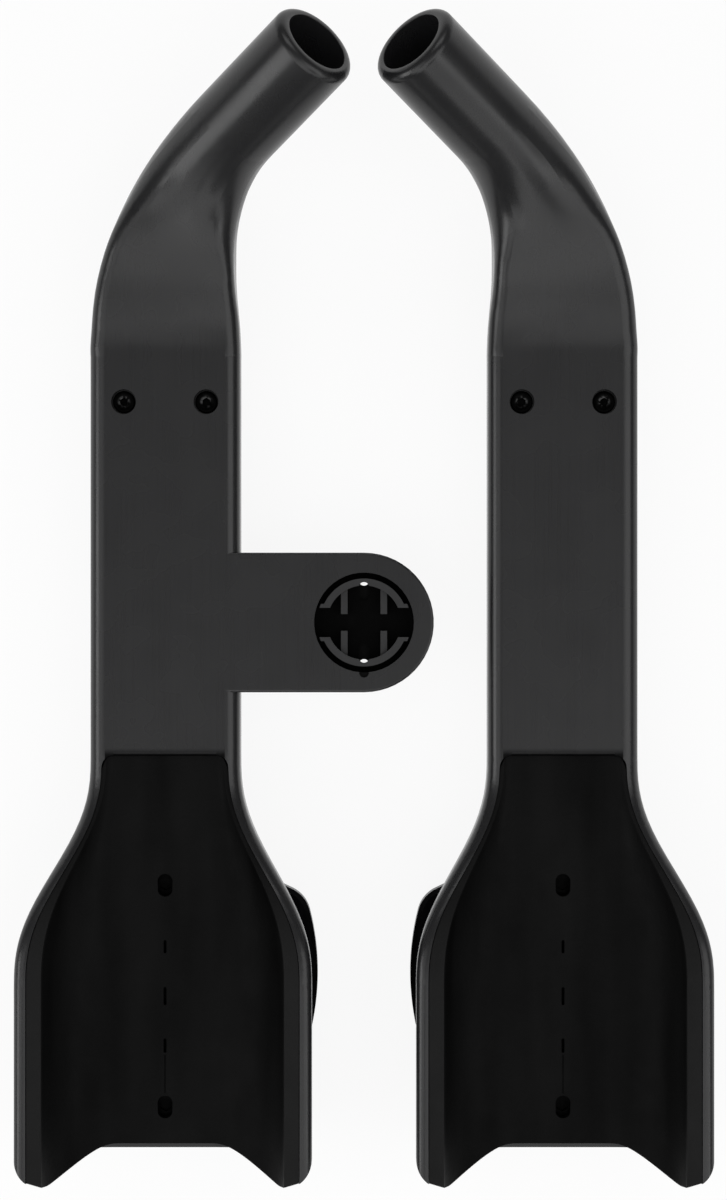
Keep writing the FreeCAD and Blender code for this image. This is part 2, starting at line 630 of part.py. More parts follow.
def new_sketch(body, name, role, offset="0"):
    """Sketch on one of the body's own origin planes, lifted by an expression."""
    sketch = body.newObject("Sketcher::SketchObject", name)
    sketch.AttachmentSupport = [(origin_plane(body, role), "")]
    sketch.MapMode = "FlatFace"
    sketch.setExpression("AttachmentOffset.Base.z", offset)
    return sketch


def bound(sketch, *constraint, expression):
    """A dimension of the sketch that follows the sheet."""
    index = sketch.addConstraint(Sketcher.Constraint(*constraint, worked_out(expression)))
    sketch.setExpression(f"Constraints[{index}]", expression)


def locate(sketch, geometry, point, right, up):
    """Ties a point of the sketch to the origin by two expressions."""
    for kind, expression in (("DistanceX", right), ("DistanceY", up)):
        bound(sketch, kind, -1, 1, geometry, point, expression=expression)


def circle(sketch, right, up, diameter):
    centre = Vector(worked_out(right), worked_out(up), 0)
    index = sketch.addGeometry(Part.Circle(centre, Vector(0, 0, 1), worked_out(diameter) / 2))
    bound(sketch, "Diameter", index, expression=diameter)
    locate(sketch, index, 3, right, up)


def polygon(sketch, corners):
    """Closed outline through corners given as pairs of expressions."""
    points = [Vector(worked_out(right), worked_out(up), 0) for right, up in corners]
    first = None
    for index, point in enumerate(points):
        line = sketch.addGeometry(Part.LineSegment(point, points[(index + 1) % len(points)]))
        first = line if first is None else first
        if line > first:
            sketch.addConstraint(Sketcher.Constraint("Coincident", line - 1, 2, line, 1))
        locate(sketch, line, 1, *corners[index])
    sketch.addConstraint(Sketcher.Constraint("Coincident", line, 2, first, 1))


def hexagon(sketch, across_flats):
    """Six sides whose distance between flats follows the sheet."""
    reach = f"{across_flats} / sqrt(3)"
    turns = [f"{60 * step + 30}deg" for step in range(6)]
    polygon(sketch, [(f"{reach} * cos({turn})", f"{reach} * sin({turn})") for turn in turns])


def pad(body, name, sketch, length):
    feature_pad = body.newObject("PartDesign::Pad", name)
    feature_pad.Profile = sketch
    feature_pad.setExpression("Length", length)
    return feature_pad


def pocket(body, name, sketch, length, reverse=False):
    """Pocket that has to take something off the body."""
    doc.recompute()
    before = body.Shape.Volume
    cut = body.newObject("PartDesign::Pocket", name)
    cut.Profile = sketch
    cut.setExpression("Length", length)
    cut.Reversed = reverse
    doc.recompute()
    if body.Shape.Volume >= before:
        raise RuntimeError(f"{name} cuts nothing")
    return cut


def socket_screw(name, shank, length, head, head_height, key):
    """Screw with a hexagon socket, its head's underside at the origin."""
    body = doc.addObject("PartDesign::Body", name)
    shank_sketch = new_sketch(body, name + "_shank", "XY_Plane", f"-{length}")
    circle(shank_sketch, "0", "0", shank)
    pad(body, name + "_shank_pad", shank_sketch, length)
    head_sketch = new_sketch(body, name + "_head", "XY_Plane")
    circle(head_sketch, "0", "0", head)
    pad(body, name + "_head_pad", head_sketch, head_height)
    key_sketch = new_sketch(body, name + "_key", "XY_Plane", head_height)
    hexagon(key_sketch, key)
    pocket(body, name + "_key_pocket", key_sketch, f"{head_height} * sizes.key_depth_share")
    return body


def sleeve(name, outer, inner, length):
    """Round piece with a hole, its lower end at the origin."""
    body = doc.addObject("PartDesign::Body", name)
    sketch = new_sketch(body, name + "_ring", "XY_Plane")
    circle(sketch, "0", "0", outer)
    circle(sketch, "0", "0", inner)
    pad(body, name + "_pad", sketch, length)
    return body


def copies(name, source, places, turn=Rotation()):
    """One node of like pieces, each a solid of its own."""
    doc.recompute()
    shapes = []
    for place in places:
        shape = source.Shape.copy()
        shape.Placement = Placement(place, turn)
        shapes.append(shape)
    return feature(name, Part.makeCompound(shapes))


def raised(places, height):
    return [place + Vector(0, 0, height) for place in places]


# Boss screws and the threaded inserts that they turn into.
BOSS_SEAT = TOP - size("screw_recess_depth")
boss_screw = socket_screw("boss_screw", "sizes.screw_diameter", "sizes.screw_length",
                          "sizes.screw_head_diameter", "sizes.screw_head_height", "sizes.screw_key")
boss_insert = sleeve("boss_insert", "sizes.boss_insert_diameter",
                     "sizes.screw_diameter + 2 * sizes.thread_gap", "sizes.boss_insert_length")
copies("boss_screws_left", boss_screw, raised(BOSSES, BOSS_SEAT))
copies("boss_inserts_left", boss_insert, raised(BOSSES, BOSS_SEAT - size("boss_insert_length")))

# Cup bolts and washers that clamp the cradle to its foot.
SHANK_LENGTH = ("(sizes.beam_depth - sizes.floor_drop - sizes.cup_bolt_head_height"
                " - sizes.cup_bolt_recess_gap + sizes.cup_bolt_engagement)")
cup_bolt = socket_screw("cup_bolt", "sizes.cup_bolt_diameter", SHANK_LENGTH, "sizes.cup_bolt_head_diameter",
                        "sizes.cup_bolt_head_height", "sizes.cup_bolt_key")
cup_washer = sleeve("cup_washer", "sizes.washer_diameter",
                    "sizes.cup_bolt_diameter + 2 * sizes.bolt_hole_gap", "sizes.washer_thickness")
copies("cup_bolts_left", cup_bolt, raised(CUP_BOLTS, CUP_SEAT + size("washer_thickness")))
copies("cup_washers_left", cup_washer, raised(CUP_BOLTS, CUP_SEAT))

# Screws that hold the computer insert, driven upwards from under the tab.
insert_screw = socket_screw("insert_screw", "sizes.insert_screw_diameter",
                            "(sizes.tab_thickness - sizes.socket_depth - sizes.insert_screw_head_height"
                            " + sizes.insert_base - sizes.insert_screw_cover - sizes.thread_gap)",
                            "sizes.insert_screw_head", "sizes.insert_screw_head_height", "sizes.screw_key")
HEADS_UP_SIDE_DOWN = Rotation(Vector(1, 0, 0), 180)
copies("computer_insert_screws", insert_screw,
       raised(INSERT_SCREWS, TAB_UNDERSIDE + size("insert_screw_head_height")), HEADS_UP_SIDE_DOWN)


def riser_foot():
    """Machined foot under the cradle, with a lobe towards the middle that takes the riser's bolts."""
    body = doc.addObject("PartDesign::Body", "riser_foot_left")
    sketch = new_sketch(body, "foot_outline", "XY_Plane")
    spine_half, end = "sizes.foot_spine / 2", "sizes.foot_length / 2"

    def lobe_side(place):
        bow = f"sqrt(sizes.foot_side_radius ^ 2 - ({place} - sizes.foot_side_middle) ^ 2)"
        return f"sizes.foot_reach - sizes.foot_side_radius + {bow}"
    front_corner = (lobe_side("sizes.foot_lobe_front"), "sizes.foot_lobe_front")
    rear_corner = (lobe_side("(-sizes.foot_lobe_rear)"), "-sizes.foot_lobe_rear")
    corners = [rear_corner, (spine_half, f"-{end}"), (f"-{spine_half}", f"-{end}"), (f"-{spine_half}", end),
               (spine_half, end), front_corner]
    points = [Vector(worked_out(right), worked_out(up), 0) for right, up in corners]
    for index, (start, finish) in enumerate(zip(points, points[1:])):
        sketch.addGeometry(Part.LineSegment(start, finish))
        locate(sketch, index, 1, *corners[index])
        if index:
            sketch.addConstraint(Sketcher.Constraint("Coincident", index - 1, 2, index, 1))
    widest = Vector(size("foot_reach"), size("foot_side_middle"), 0)
    arc = sketch.addGeometry(Part.Arc(points[-1], widest, points[0]))
    # The arc runs anticlockwise, so its start is the rear corner.
    sketch.addConstraint(Sketcher.Constraint("Coincident", arc, 1, 0, 1))
    sketch.addConstraint(Sketcher.Constraint("Coincident", arc, 2, arc - 1, 2))
    locate(sketch, arc, 2, *front_corner)
    bound(sketch, "Radius", arc, expression="sizes.foot_side_radius")
    plate = pad(body, "foot_plate", sketch, "sizes.foot_thickness")
    doc.recompute()

    def upright_edges(shape, lobe):
        names = []
        for number, edge in enumerate(shape.Edges, start=1):
            low, high = edge.BoundBox.ZMin, edge.BoundBox.ZMax
            upright = high - low > size("foot_thickness") / 2 and edge.BoundBox.XLength < NEAR
            on_lobe = edge.BoundBox.XMax > (size("foot_spine") / 2 + size("foot_reach")) / 2
            if upright and on_lobe == lobe:
                names.append(f"Edge{number}")
        return names
    corner_sets = (("foot_ends", False, "foot_end_radius"), ("foot_lobe", True, "foot_corner_radius"))
    for name, lobe, radius in corner_sets:
        rounding = body.newObject("PartDesign::Fillet", name)
        rounding.Base = (plate, upright_edges(plate.Shape, lobe))
        rounding.setExpression("Radius", f"sizes.{radius}")
        doc.recompute()
        plate = rounding
    level_faces = [f"Face{number}" for number, face in enumerate(plate.Shape.Faces, start=1)
                   if face.BoundBox.ZLength < NEAR]
    bevel = body.newObject("PartDesign::Chamfer", "foot_bevel")
    bevel.Base = (plate, level_faces)
    bevel.setExpression("Size", "sizes.foot_chamfer")
    riser = new_sketch(body, "foot_riser_holes", "XY_Plane")
    for side in ("-", ""):
        along = f"{side}sizes.riser_hole_spacing / 2"
        circle(riser, "sizes.riser_offset", along, "sizes.riser_hole_diameter")
    pocket(body, "foot_riser_pocket", riser, "sizes.riser_hole_depth", reverse=True)
    tapped = new_sketch(body, "foot_bolt_holes", "XY_Plane")
    thread = "sizes.cup_bolt_diameter + 2 * sizes.thread_gap"
    for side in ("-", ""):
        circle(tapped, "0", f"{side}sizes.cup_bolt_spacing / 2", thread)
    pocket(body, "foot_bolt_pocket", tapped, "sizes.foot_thickness", reverse=True)
    body.setExpression("Placement.Base.x", "-sizes.arm_spacing / 2")
    return body


riser_foot()


def cable_grommet():
    """Rubber ring in the beam's cable port, with a flange inside and outside the wall."""
    port = Vector(ARM_X, size("port_position"), 0)
    wall, thick = size("beam_wall"), size("grommet_flange_thickness")
    length, width, past = size("port_length"), size("port_width"), 2 * size("grommet_flange")
    snug, inset = 2 * size("grommet_gap"), 2 * size("grommet_wall")
    inner_level = UNDERSIDE + wall
    neck = slot(port, length - snug, width - snug, UNDERSIDE - thick, inner_level + thick)
    outside = slot(port, length + past, width + past, UNDERSIDE - thick, UNDERSIDE)
    inside = slot(port, length + past, width + past, inner_level, inner_level + thick)
    way = slot(port, length - inset, width - inset, 0, TOP)
    return solid_of(neck.fuse([outside, inside]).cut(way))


feature("cable_grommet_left", cable_grommet())

# Hook strips on the cradle's floor, one each side of the bolts.
for label, side in (("outer", "-"), ("inner", "+")):
    strip = doc.addObject("Part::Box", f"{label}_hook_strip")
    strip.setExpression("Length", "sizes.strip_width")
    strip.setExpression("Width", "sizes.strip_length")
    strip.setExpression("Height", "sizes.strip_thickness")
    strip.setExpression("Placement.Base.x",
                        f"-sizes.arm_spacing / 2 {side} sizes.strip_spacing / 2 - sizes.strip_width / 2")
    strip.setExpression("Placement.Base.y", "-sizes.strip_length / 2")
    strip.setExpression("Placement.Base.z", "sizes.foot_thickness + sizes.beam_depth - sizes.floor_drop")
strips = doc.addObject("Part::Compound", "pad_hook_strips_left")
strips.Links = [doc.outer_hook_strip, doc.inner_hook_strip]


def quarter_turn_insert():
    """Moulded insert in the tab: floor disc, two hooked lips, four spring ribs and tether slots."""
    radius = size("socket_diameter") / 2 - size("socket_gap")
    base = SOCKET_FLOOR + size("insert_base")
    disc = cylinder(radius, SOCKET_FLOOR, base, SOCKET)
    outer, inner = size("lip_outer_diameter") / 2, size("lip_inner_diameter") / 2
    wall = cylinder(outer, base, TOP, SOCKET).cut(cylinder(outer - size("lip_wall"), base, TOP, SOCKET))
    flange_low = TOP - size("lip_thickness")
    flange = cylinder(outer, flange_low, TOP, SOCKET).cut(cylinder(inner, flange_low, TOP, SOCKET))
    # A band across the socket gives the lips' ends, and a wider one their outward hooks.
    entry_width = size("lip_entry_width")
    hook_width = entry_width + 2 * size("lip_hook_width")
    entry, hook_band = [Part.makeBox(4 * outer, width, TOP - base,
                                     Vector(-2 * outer, SOCKET.y - width / 2, base))
                        for width in (entry_width, hook_width)]
    hook_ring = cylinder(size("lip_hook_diameter") / 2, base, TOP, SOCKET)
    hooks = hook_ring.cut(cylinder(inner, base, TOP, SOCKET)).common(hook_band)
    lips = wall.fuse([flange, hooks]).cut(entry)
    ribs = []
    rib_length = inner - size("rib_inner_end")
    for side in (-1, 1):
        for end in (-1, 1):
            low_end = size("rib_inner_end") if end > 0 else -inner
            left_side = side * size("rib_spacing") / 2 - size("rib_width") / 2
            corner = Vector(left_side, SOCKET.y + low_end, base)
            ribs.append(Part.makeBox(size("rib_width"), rib_length, size("rib_height"), corner))
    tether_length = size("tether_outer_end") - size("tether_inner_end")
    holes = [slot(place, tether_length, size("tether_width"), SOCKET_FLOOR, TOP) for place in TETHER_SLOTS]
    tapped = size("insert_screw_diameter") / 2 + size("thread_gap")
    screw_end = base - size("insert_screw_cover")
    holes += [cylinder(tapped, SOCKET_FLOOR, screw_end, place) for place in INSERT_SCREWS]
    return solid_of(disc.fuse([lips] + ribs).cut(holes))


feature("computer_mount_insert", quarter_turn_insert())

# The right side mirrors the left across the middle plane. Its arm has no tab.
PAIRED = ("extension_arm", "armrest_pad", "pad_hook_strips", "boss_screws", "boss_inserts",
          "cup_bolts", "cup_washers", "riser_foot", "cable_grommet")
nodes = ["computer_mount_insert", "computer_insert_screws"]
for piece in PAIRED:
    left = doc.getObject(f"{piece}_left")
    right = doc.addObject("Part::Mirroring", f"{piece}_right")
    right.Source = plain_arm if piece == "extension_arm" else left
    right.Normal = Vector(1, 0, 0)
    nodes += [left.Name, right.Name]
doc.recompute()

for item in doc.Objects:
    if "Invalid" in item.State or "Error" in item.State:
        raise RuntimeError(f"{item.Name} did not build")
os.makedirs("parts", exist_ok=True)
for name in nodes:
    node = doc.getObject(name)
    node.Label = name
    shape = node.Shape
    if shape.isNull() or not shape.isValid() or not shape.Solids:
        raise RuntimeError(f"{name} is not a valid solid")
    shape.exportStep(f"parts/{name}.step")
    print(name, len(shape.Solids), round(shape.Volume, 1))
print("grip tip", GRIP_TIP, "axis", GRIP_AXIS, "bend length", round(BEND_LENGTH, 2))
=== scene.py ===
import math

import bmesh
import bpy
from mathutils import Matrix, Vector


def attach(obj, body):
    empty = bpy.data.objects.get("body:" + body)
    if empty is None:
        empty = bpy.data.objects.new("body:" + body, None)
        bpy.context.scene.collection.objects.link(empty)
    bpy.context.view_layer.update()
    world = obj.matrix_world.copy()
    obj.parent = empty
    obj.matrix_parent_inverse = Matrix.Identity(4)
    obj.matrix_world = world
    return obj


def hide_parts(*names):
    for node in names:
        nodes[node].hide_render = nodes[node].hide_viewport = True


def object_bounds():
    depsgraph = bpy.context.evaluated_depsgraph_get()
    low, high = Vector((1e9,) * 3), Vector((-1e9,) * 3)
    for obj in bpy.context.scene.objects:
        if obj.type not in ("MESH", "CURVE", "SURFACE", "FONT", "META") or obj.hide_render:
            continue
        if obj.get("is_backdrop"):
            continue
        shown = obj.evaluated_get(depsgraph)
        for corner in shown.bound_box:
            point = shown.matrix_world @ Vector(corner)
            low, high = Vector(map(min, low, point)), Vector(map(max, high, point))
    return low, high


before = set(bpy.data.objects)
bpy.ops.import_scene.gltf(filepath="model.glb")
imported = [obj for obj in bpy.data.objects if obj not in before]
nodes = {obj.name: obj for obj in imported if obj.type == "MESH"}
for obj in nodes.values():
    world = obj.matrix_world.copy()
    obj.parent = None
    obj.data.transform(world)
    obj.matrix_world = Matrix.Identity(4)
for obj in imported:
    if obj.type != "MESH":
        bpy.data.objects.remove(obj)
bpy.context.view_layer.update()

# Extension arms: one hollow carbon moulding each, with grip tube, flat beam and forearm cradle.
# Prepreg is pressed in a closed mould and the finished skin gets a thin satin lacquer, so the
# fibres only show as faint streaks along the arm and the sheen is soft but clear.
MM = 0.001


def linear(hex_colour):
    """An sRGB hex colour as linear red, green, blue and alpha."""
    shares = [int(hex_colour[place:place + 2], 16) / 255 for place in (1, 3, 5)]
    return [share / 12.92 if share <= 0.04045 else ((share + 0.055) / 1.055) ** 2.4
            for share in shares] + [1.0]


def add(tree, kind, sockets, **settings):
    """Adds one shader node. Each socket gets a value, or a link where it is given an output."""
    made = tree.nodes.new(kind)
    for name, value in settings.items():
        setattr(made, name, value)
    for name, value in sockets.items():
        if isinstance(value, bpy.types.NodeSocket):
            tree.links.new(value, made.inputs[name])
        else:
            made.inputs[name].default_value = value
    return made.outputs


def new_material(name, values):
    """A material whose uniform values are set on its shader's own sockets."""
    material = bpy.data.materials.new(name)
    material.use_nodes = True
    tree = material.node_tree
    for socket, value in values.items():
        tree.nodes["Principled BSDF"].inputs[socket].default_value = value
    return material, tree, add(tree, "ShaderNodeTexCoord", {})["Object"]


def drive(material, patterns):
    """Links a pattern to each named socket of a material's shader."""
    tree = material.node_tree
    for socket, pattern in patterns.items():
        tree.links.new(pattern, tree.nodes["Principled BSDF"].inputs[socket])


def dress(material, *names):
    """Gives CAD nodes their finish."""
    for name in names:
        nodes[name].material_slots[0].material = material


# Satin lacquer over carbon: near black, with fibre bundles 0.8 mm wide and 60 mm long that barely
# show, lacquer flow about 18 mm wide that changes the sheen, and a 2 mm ripple left by spraying.
# The socket's pocket with its index notch and the step down to the pad get a lower specular
# level, and their colour is darkened there as painted shade in the pocket and along the step.
ARM_X, FLAT_HALF = 66.4, 20.0
SOCKET_ALONG, DULL_SHADE_RADIUS, DULL_SHADE_MIDDLE, DULL_SHADE_HALF = 124.7, 18.4, 29.7, 3.4
STEP_START, STEP_END, STEP_LIMIT = 82.8, 80.6, 70.0
NOISE_SPAN = {"From Min": 0.3, "From Max": 0.7}
carbon, tree, place = new_material("satin_lacquered_carbon", {"IOR": 1.5})
axis = add(tree, "ShaderNodeSeparateXYZ", {"Vector": place})
from_socket = add(tree, "ShaderNodeMapping", {
    "Vector": place, "Location": (0, -SOCKET_ALONG * MM, 0), "Scale": (1, 1, 0)})[0]
away = add(tree, "ShaderNodeVectorMath", {0: from_socket}, operation="LENGTH")["Value"]
beside = add(tree, "ShaderNodeMath", {0: away, 1: DULL_SHADE_RADIUS * MM}, operation="LESS_THAN")[0]
sunk = add(tree, "ShaderNodeMath", {0: axis["Z"], 1: DULL_SHADE_MIDDLE * MM, 2: DULL_SHADE_HALF * MM},
           operation="COMPARE")[0]
pocket = add(tree, "ShaderNodeMath", {0: beside, 1: sunk}, operation="MULTIPLY")[0]
aside = add(tree, "ShaderNodeMath", {0: axis["X"]}, operation="ABSOLUTE")[0]
on_beam = add(tree, "ShaderNodeMath", {0: aside, 1: ARM_X * MM, 2: FLAT_HALF * MM},
              operation="COMPARE")[0]
ahead = add(tree, "ShaderNodeMath", {0: axis["Y"], 1: STEP_LIMIT * MM},
            operation="GREATER_THAN")[0]
near_step = add(tree, "ShaderNodeMath", {0: on_beam, 1: ahead}, operation="MULTIPLY")[0]
step_fade = add(tree, "ShaderNodeMapRange", {
    "Value": axis["Y"], "From Min": STEP_START * MM, "From Max": STEP_END * MM})[0]
# Painted shade: the pocket and the strip at the step down to the pad are darkened and made duller.
dull_and_painted_shade = add(tree, "ShaderNodeMath", {0: near_step, 1: step_fade, 2: pocket},
           operation="MULTIPLY_ADD")[0]
gloss = add(tree, "ShaderNodeMapRange", {"Value": dull_and_painted_shade, "To Min": 0.38, "To Max": 0.04})[0]
along_arm = add(tree, "ShaderNodeMapping", {"Vector": place, "Scale": (1, 1 / 75, 1)})[0]
fibres = add(tree, "ShaderNodeTexNoise", {
    "Vector": along_arm, "Scale": 1 / (0.8 * MM), "Detail": 3.0})[0]
fibres = add(tree, "ShaderNodeMapRange", {
    "Value": fibres, **NOISE_SPAN, "To Min": 0.8, "To Max": 1.0})[0]
# Painted shade takes the colour down by up to 0.8 of its span in the pocket and at the step.
shade = add(tree, "ShaderNodeMath", {0: dull_and_painted_shade, 1: -0.8, 2: fibres}, operation="MULTIPLY_ADD")[0]
colour = add(tree, "ShaderNodeMix", {0: shade, 6: linear("#070707"), 7: linear("#1c1c1d")},
             data_type="RGBA")[2]
flow = add(tree, "ShaderNodeTexNoise", {"Vector": place, "Scale": 1 / (18 * MM)})[0]
sheen = add(tree, "ShaderNodeMapRange", {
    "Value": flow, **NOISE_SPAN, "To Min": 0.24, "To Max": 0.3})[0]
# Where the bend starts, its join with the beam's flat top is rubbed level before spraying.
JOIN_START, JOIN_FULL, JOIN_END, JOIN_LEVEL = 212.6, 213.8, 218.4, 33.93
past_start = add(tree, "ShaderNodeMath", {0: axis["Y"], 1: JOIN_START * MM},
                 operation="GREATER_THAN")[0]
on_top = add(tree, "ShaderNodeMath", {0: axis["Z"], 1: JOIN_LEVEL * MM},
             operation="GREATER_THAN")[0]
flat_top = add(tree, "ShaderNodeMath", {0: on_beam, 1: on_top}, operation="MULTIPLY")[0]
at_join = add(tree, "ShaderNodeMath", {0: past_start, 1: flat_top}, operation="MULTIPLY")[0]
join_fade = add(tree, "ShaderNodeMapRange", {
    "Value": axis["Y"], "From Min": JOIN_END * MM, "From Max": JOIN_FULL * MM},
    interpolation_type="SMOOTHSTEP")[0]
rubbed = add(tree, "ShaderNodeMath", {0: at_join, 1: join_fade}, operation="MULTIPLY")[0]
facing = add(tree, "ShaderNodeNewGeometry", {})["Normal"]
level = add(tree, "ShaderNodeMix", {0: rubbed, 4: facing, 5: (0, 0, 1)}, data_type="VECTOR")[1]
ripple = add(tree, "ShaderNodeTexNoise", {"Vector": place, "Scale": 1 / (2 * MM)})[0]
relief = add(tree, "ShaderNodeBump", {
    "Height": ripple, "Distance": 0.004 * MM, "Normal": level})[0]
drive(carbon, {"Base Color": colour, "Specular IOR Level": gloss, "Roughness": sheen,
               "Normal": relief})
dress(carbon, "extension_arm_left", "extension_arm_right")

# Armrest pads: closed-cell foam pressed to the cradle's shape, with a skin on top, an oblong
# opening over each cup bolt, three short slits and a fine score line. Each is held down by two
# strips of hook tape.
CRADLE_FRONT, FLARE_LENGTH = 80.4, 76.6
CRADLE_HALF, RECESS_HALF_FRONT, RECESS_HALF_REAR = 49.2, 21.15, 45.3
PAD_GAP, FLOOR_HALF = 0.05, 16.5
PAD_BASE, PAD_TOP = 26.7, 32.2
EDGE_FRONT, EDGE_REAR, EDGE_ROUNDING = 33.6, 51.8, 0.15
LIP_FRONT, LIP_REAR = 0.3, 4.8
FRONT_CORNER, WING_CORNER = 4.0, 9.5
FLOOR_END, WING_END, WING_LEVEL, WING_BULGE = -49.2, -61.7, 46.0, 2.3
CUT_LOW, CUT_HIGH = 20.0, 45.0
OPENINGS, OPENING_LENGTH, OPENING_WIDTH = (-37.0, 37.0), 7.6, 5.0
SLITS, SLIT_WIDTH, SLIT_FLOOR = ((-16.5, 4.8), (0.0, 6.0), (16.5, 4.4)), 1.0, 27.7
SCORE, SCORE_LENGTH, SCORE_WIDTH, SCORE_FLOOR = -26.0, 13.0, 0.5, 31.8


def mix(first, last, share):
    """Value at a share of the way from the first to the last."""
    return first + (last - first) * share


def flare(along):
    """How far the cradle has widened: 0 at its front, 1 at its rear."""
    share = min(max((CRADLE_FRONT - along) / FLARE_LENGTH, 0), 1)
    return share ** 3 * (share * (6 * share - 15) + 10)


def trough(walk, share, top):
    """Point of the pad's upper or lower face, by the share of the way from middle to edge."""
    half = mix(RECESS_HALF_FRONT, RECESS_HALF_REAR, share) - PAD_GAP
    half -= mix(LIP_FRONT, LIP_REAR, share * share) if top else 0
    low = PAD_TOP if top else PAD_BASE
    edge = mix(EDGE_FRONT, EDGE_REAR, share)
    radius = half - FLOOR_HALF
    turn = math.acos(max((radius - edge + low) / radius, 0))
    wall = max(edge - low - radius, 0)
    length = abs(walk) * (FLOOR_HALF + radius * turn + wall)
    side = math.copysign(1, walk)
    if length < FLOOR_HALF:
        return side * length, low
    angle = min((length - FLOOR_HALF) / radius, turn)
    across = FLOOR_HALF + radius * math.sin(angle)
    up_wall = max(length - FLOOR_HALF - radius * turn, 0)
    return side * across, low + radius * (1 - math.cos(angle)) + up_wall


def rounding(across, half, radius):
    """How far an edge falls back at a rounded corner."""
    past = min(max(abs(across) - half + radius, 0), radius)
    return radius - math.sqrt(radius * radius - past * past)


def rear_edge(height):
    """Where the pad ends at a height: an arc that slants back up the walls, upright past it."""
    rise, back = WING_LEVEL - PAD_TOP, FLOOR_END - WING_END
    chord = math.hypot(rise, back)
    radius = chord * chord / (8 * WING_BULGE) + WING_BULGE / 2
    reach = (radius - WING_BULGE) / chord
    middle_level = (PAD_TOP + WING_LEVEL) / 2 + back * reach
    middle = (FLOOR_END + WING_END) / 2 + rise * reach
    up = min(max(height, PAD_TOP), WING_LEVEL) - middle_level
    return middle - math.sqrt(radius * radius - up * up)


def pad_point(walk, along, top):
    """Point of the pad in metres from its own centre line."""
    across, _ = trough(walk, 0, top)
    corner = rounding(across, RECESS_HALF_FRONT - PAD_GAP, FRONT_CORNER)
    front = CRADLE_FRONT - PAD_GAP - corner
    across, height = trough(walk, 1, top)
    corner = WING_END - PAD_GAP + rounding(across, CRADLE_HALF, WING_CORNER)
    level = mix(front, max(rear_edge(height), corner), along)
    across, height = trough(walk, flare(level), top)
    return Vector((across, level, height)) * MM


PAD_ACROSS, PAD_ALONG = 52, 70
HELD_EDGE, HELD_ROUND_OPENING, NEAR = 0.05, 6.0, 0.001
pad_bm = bmesh.new()
loose = pad_bm.verts.layers.int.new("loose")
rim = pad_bm.verts.layers.float.new("rim")
faces_of = {}
for top in (True, False):
    made = bmesh.ops.create_grid(pad_bm, x_segments=PAD_ACROSS, y_segments=PAD_ALONG, size=1.0)
    for vert in made["verts"]:
        inside = max(abs(vert.co.x), abs(vert.co.y)) < 1 - HELD_EDGE
        at_side = abs(vert.co.x) > 1 - NEAR
        vert.co = pad_point(vert.co.x, (1 - vert.co.y) / 2, top)
        clear = min(math.hypot(vert.co.x, vert.co.y - along * MM) for along in OPENINGS)
        vert[loose] = top and inside and clear > HELD_ROUND_OPENING * MM
        # The rim share marks the lip along the sides, stronger towards the rear, for the painted
        # highlight.
        vert[rim] = flare(vert.co.y / MM) if at_side else 0
    faces_of[top] = {face for vert in made["verts"] for face in vert.link_faces}
bmesh.ops.reverse_faces(pad_bm, faces=list(faces_of[False]))
rims = [edge for edge in pad_bm.edges if edge.is_boundary]
bmesh.ops.bridge_loops(pad_bm, edges=rims)
bmesh.ops.bevel(pad_bm, geom=rims, offset=EDGE_ROUNDING * MM, affect="EDGES", segments=2,
                profile=0.5, material=-1)
bmesh.ops.recalc_face_normals(pad_bm, faces=pad_bm.faces)
SMOOTH_ANGLE = math.radians(40)


def new_piece(name, bm, material):
    """Object at the origin from a finished bmesh, shaded smooth up to the smooth angle."""
    mesh = bpy.data.meshes.new(name)
    bm.to_mesh(mesh)
    bm.free()
    mesh.shade_smooth()
    mesh.set_sharp_from_angle(angle=SMOOTH_ANGLE)
    piece = bpy.data.objects.new(name, mesh)
    piece.data.materials.append(material)
    bpy.context.scene.collection.objects.link(piece)
    return piece


# Ethylene-vinyl acetate foam with a moulded skin: matt black, 0.8 mm pores drawn at 1.2 mm to
# show, slow changes of tone where the skin is thicker, and a glossier edge along the lip that is
# painted paler, a painted highlight where light catches it.
foam, tree, place = new_material("moulded_eva_foam", {"IOR": 1.45})
# Painted highlight: the lip is painted paler and given more specular along the rim share.
painted_lit_rim = add(tree, "ShaderNodeAttribute", {}, attribute_name="rim")["Fac"]
along_pad = add(tree, "ShaderNodeMapping", {"Vector": place, "Scale": (1, 1 / 6, 1)})[0]
skin = add(tree, "ShaderNodeTexNoise", {"Vector": along_pad, "Scale": 1 / (14 * MM)})[0]
tone = add(tree, "ShaderNodeMath", {0: painted_lit_rim, 1: 0.4, 2: skin}, operation="MULTIPLY_ADD")[0]
tone = add(tree, "ShaderNodeMapRange", {"Value": tone, "From Min": 0.3, "From Max": 0.95})[0]
colour = add(tree, "ShaderNodeMix", {0: tone, 6: linear("#050505"), 7: linear("#131313")},
             data_type="RGBA")[2]
gloss = add(tree, "ShaderNodeMapRange", {"Value": painted_lit_rim, "To Min": 0.06, "To Max": 0.14})[0]
patches = add(tree, "ShaderNodeTexNoise", {"Vector": place, "Scale": 1 / (9 * MM)})[0]
sheen = add(tree, "ShaderNodeMapRange", {
    "Value": patches, **NOISE_SPAN, "To Min": 0.55, "To Max": 0.66})[0]
pores = add(tree, "ShaderNodeTexVoronoi", {"Vector": place, "Scale": 1 / (1.2 * MM)})["Distance"]
relief = add(tree, "ShaderNodeBump", {"Height": pores, "Distance": 0.05 * MM})[0]
drive(foam, {"Base Color": colour, "Specular IOR Level": gloss, "Roughness": sheen,
             "Normal": relief})

